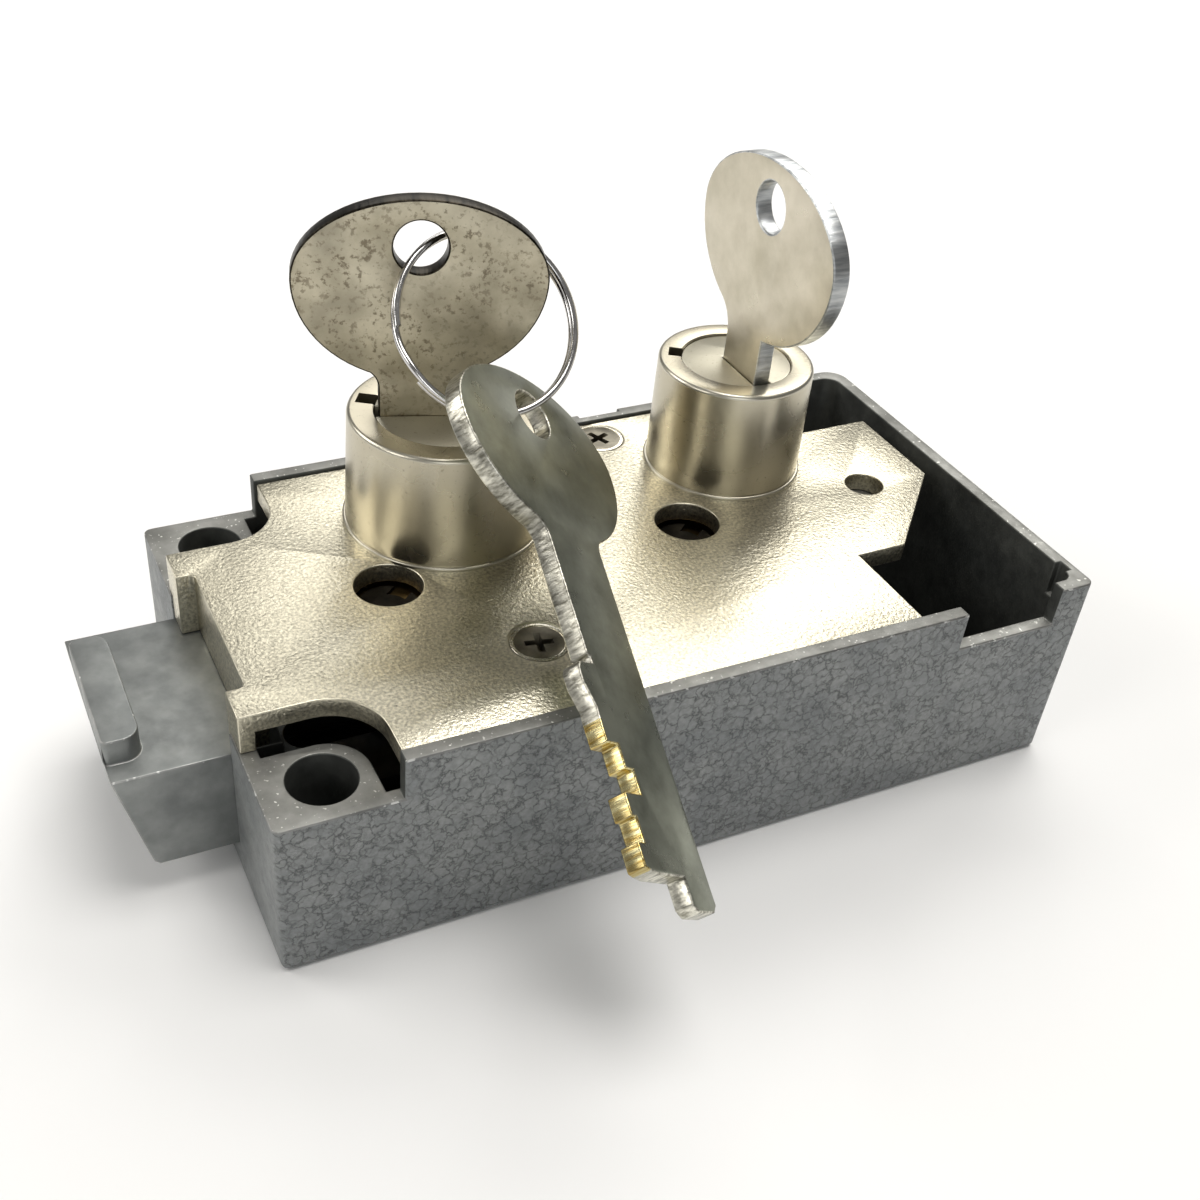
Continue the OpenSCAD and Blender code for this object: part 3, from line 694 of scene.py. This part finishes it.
# %% [markdown]
# ## The split ring
# A split ring is one wire wound almost twice round. The two turns lie side by side, and over a
# short stretch the wire steps from one side to the other, between its two ends. A curve follows
# that path, a bevel gives it the wire's thickness, and it becomes a mesh at the end.
# %% Split ring
RING_R = 10.55
WIRE = 0.85
STEP_AT = 205.0
STEP_LONG = 28.0
END_GAP = 3.0
RING_LEANS = (48.7, 0, 1.9)
RING_AT = (-14.81, 7.64, 54.61)


def wire_side(travelled):
    """How far the wire lies to one side, from -1 to 1, after this many degrees."""
    along = (travelled - (360.0 - STEP_LONG)) / STEP_LONG
    along = min(1.0, max(0.0, along))
    return -math.cos(math.pi * along)


def split_ring():
    line = bpy.data.curves.new("split_ring", "CURVE")
    line.dimensions = "3D"
    line.bevel_depth = WIRE / 2 * MM
    line.bevel_resolution = 6
    line.use_fill_caps = True
    path = line.splines.new("POLY")
    length = 720.0 - STEP_LONG - 2 * END_GAP
    steps = 220
    path.points.add(steps)
    for i, point in enumerate(path.points):
        travelled = END_GAP + length * i / steps
        angle = math.radians(STEP_AT + travelled)
        side = wire_side(travelled) * (WIRE / 2 - 0.01)
        point.co = (RING_R * MM * math.cos(angle), RING_R * MM * math.sin(angle), side * MM, 1)
    ring = bpy.data.objects.new("split_ring", line)
    bpy.context.scene.collection.objects.link(ring)
    take_up(ring)
    bpy.ops.object.convert(target="MESH")
    ring = bpy.context.object
    ring.rotation_euler = [math.radians(a) for a in RING_LEANS]
    ring.location = Vector(RING_AT) * MM
    ring.data.materials.clear()
    ring.data.materials.append(ring_steel)
    return finish_off(ring, 40)


ring = split_ring()
hand_over(ring, "key_ring", "key_ring")
print("Split ring:", len(ring.data.polygons), "faces")

# %% [markdown]
# ## The cover's screws
# Two flat-headed screws with a cross recess hold the cover. A head is a cylinder whose rim is
# inset, sunk a hair and rounded, and the rim takes a pale finish, a painted highlight, so that a
# bright line runs round a darker face. The recess is cut by two crossed blocks that narrow
# downwards. One screw is modelled and the other copied.
# %% Screws
HEAD_R = 3.45
HEAD_H = 1.5
CROSS_ANGLES = (-12, 78)
FAR_SCREW_TURN = 35


def cross_block(angle):
    """One arm of the recess: a block whose lower face is drawn in."""
    bpy.ops.mesh.primitive_cube_add(size=1)
    arm = bpy.context.object
    arm.scale = (3.9 * MM, 0.95 * MM, 2.0 * MM)
    arm.rotation_euler.z = math.radians(angle)
    bpy.ops.object.transform_apply(rotation=True, scale=True)
    pick(arm, faces=lambda face: face.normal.z < -0.9)
    bpy.ops.transform.resize(value=(0.55, 0.55, 1))
    bpy.ops.object.mode_set(mode="OBJECT")
    return arm


def cover_screw(name):
    select_none()
    bpy.ops.mesh.primitive_cylinder_add(vertices=96, radius=HEAD_R * MM, depth=HEAD_H * MM,
                                        location=(0, 0, -HEAD_H / 2 * MM))
    screw = bpy.context.object
    screw.name = name
    bpy.ops.object.transform_apply(location=True)
    pick(screw, faces=lambda face: face.normal.z < -0.9)
    bpy.ops.transform.resize(value=(0.55, 0.55, 1))
    bpy.ops.mesh.extrude_region_move(TRANSFORM_OT_translate={"value": (0, 0, -11 * MM)})
    pick(screw, faces=lambda face: face.normal.z > 0.9)
    inset_by(0.42)
    draw_out(-0.1)
    inset_by(0.12)
    bpy.ops.transform.translate(value=(0, 0, 0.04 * MM))
    pick(screw, edges=ring_edges(0, HEAD_R))
    round_off(0.16, 4)
    bpy.ops.object.mode_set(mode="OBJECT")
    for angle in CROSS_ANGLES:
        arm = cross_block(angle)
        arm.location.z = -0.45 * MM
        cut_away(screw, arm)
    screw.data.materials.clear()
    for skin in (screw_steel, screw_rim_painted_highlight):
        screw.data.materials.append(skin)
    for face in screw.data.polygons:
        # The rim's pale finish is a painted highlight round the darker face of the head.
        on_rim = face.center.xy.length > (HEAD_R - 0.5) * MM and face.center.z > -0.3 * MM
        face.material_index = 1 if on_rim else 0
    return screw


near_screw = cover_screw("near_screw")
far_screw = near_screw.copy()
far_screw.data = near_screw.data.copy()
far_screw.name = "far_screw"
bpy.context.scene.collection.objects.link(far_screw)
far_screw.rotation_euler.z = math.radians(FAR_SCREW_TURN)
for screw, (x, y) in ((near_screw, (-16.9, -15.25)), (far_screw, (9.3, 22.75))):
    screw.location = Vector((x, y, COVER_TOP - 0.04)) * MM
    finish_off(screw)
    hand_over(screw, "case", "cover_screws")
print("Screws:", near_screw.name, far_screw.name)

# %% [markdown]
# ## The works inside
# The levers, springs, posts, clips and fences keep their CAD shape, which is already exact, and
# take their finishes in their own material slots.
# %% Works inside
# The levers' and the posts' dark finishes are painted shade inside the case.
WORKS = {"lever": lever_brass, "spring": spring_steel, "clip": painted_shade_steel,
         "post": painted_shade_steel, "fence": painted_shade_steel}
HIDDEN_BY_PIECES = ("case", "cover", "renter_nose", "guard_nose", "renter_plug", "guard_plug",
                    "bolt", "renter_key", "guard_key", "spare_key", "key_ring", "cover_screws")


def works_finish(name):
    """The finish of an inner part, from the kind of part that its name ends with."""
    kinds = [kind for kind in ("post", "clip", "spring", "fence", "lever") if kind in name]
    return WORKS[kinds[0]]


for name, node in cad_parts.items():
    if name in HIDDEN_BY_PIECES:
        continue
    if not node.material_slots:
        node.data.materials.append(works_finish(name))
    for holder in node.material_slots:
        holder.material = works_finish(name)
print("CAD parts with their own finish:", len(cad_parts) - len(HIDDEN_BY_PIECES))
